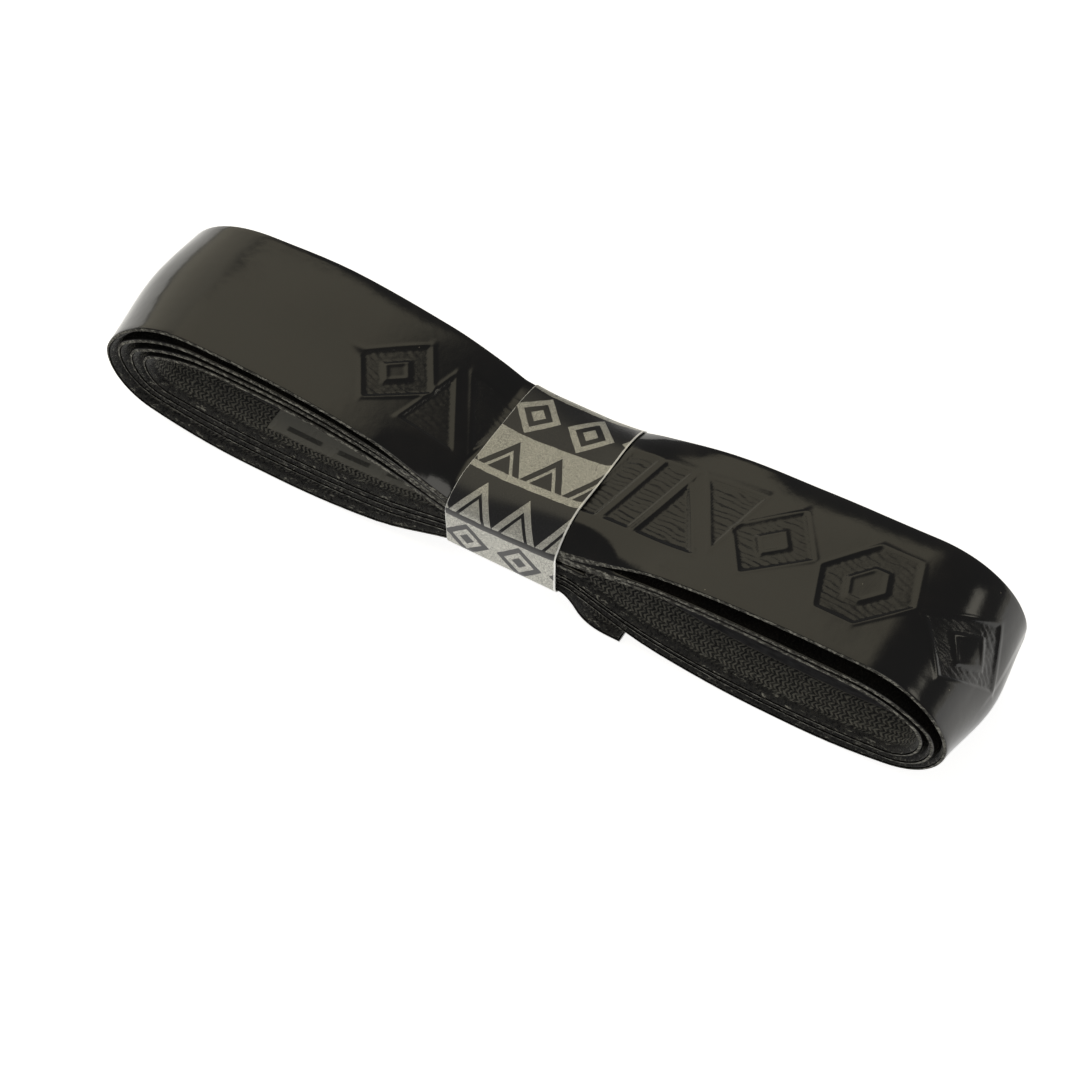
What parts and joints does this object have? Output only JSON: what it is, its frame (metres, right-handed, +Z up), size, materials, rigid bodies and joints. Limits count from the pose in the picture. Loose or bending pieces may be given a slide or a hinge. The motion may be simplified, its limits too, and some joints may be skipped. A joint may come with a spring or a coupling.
{
  "type": "replacement racket grip",
  "caption": "Replacement racket grip strip of glossy cushioned skin on felt, wound flat into an open-ended roll and held by a printed paper band.",
  "frame": {"origin": "on the ground under the middle of the roll, below the paper band", "axes": "+X along the roll towards its three-turn end, +Y across the strip to the rear edge, +Z up"},
  "size_m": [0.15, 0.0262, 0.0269],
  "materials": {
    "grip_skin": "glossy",
    "felt_backing": "woven felt",
    "adhesive": "tacky",
    "release_liner": "satin",
    "tape_backing": "satin",
    "finishing_tape": "satin",
    "printed_paper": "printed, semi-gloss",
    "seam_glue": "clear glue"
  },
  "bodies": {
    "roll": {"grip_skin": "grip_skin", "felt_backing": "felt_backing", "adhesive_strip": "adhesive", "release_liner": "release_liner", "tape_backing": "tape_backing", "finishing_tape": "finishing_tape"},
    "band": {"paper_band": "printed_paper", "seam_glue": "seam_glue"}
  },
  "joints": [
    {"name": "band_slide", "type": "slide", "parent": "roll", "child": "band", "axis": [1, 0, 0], "range_m": [-0.0875, 0.0875], "deforming": ["grip_skin", "felt_backing", "adhesive_strip", "release_liner", "tape_backing", "finishing_tape"]}
  ]
}
